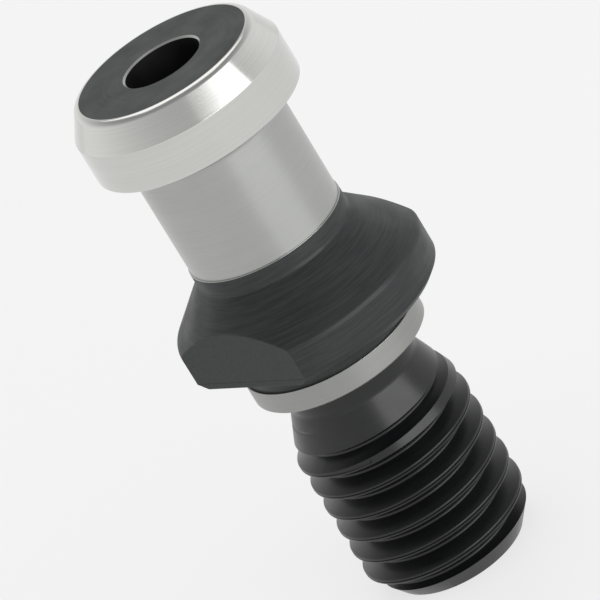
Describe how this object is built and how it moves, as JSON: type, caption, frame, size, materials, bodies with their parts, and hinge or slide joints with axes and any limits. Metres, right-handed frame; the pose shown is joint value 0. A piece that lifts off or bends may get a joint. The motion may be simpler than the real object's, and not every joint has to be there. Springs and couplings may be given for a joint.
{
  "type": "pull stud",
  "caption": "Turned steel pull stud with a mushroom head, ground neck, coned flange with wrench flats, pilot, coarse right-hand thread and a coolant bore right through.",
  "frame": {"origin": "on the stud's axis, in the plane of the flange's seat, which bears on the back of the tool holder", "axes": "+Z along the axis towards the head; the two wrench flats face -Y and +Y"},
  "size_m": [0.0228, 0.019, 0.0516],
  "materials": {
    "steel": "hardened steel with a black oxide finish, ground bright on the head's chamfer and rim, on the neck and on the pilot"
  },
  "bodies": {
    "root": {"pull_stud": "steel"}
  },
  "joints": []
}
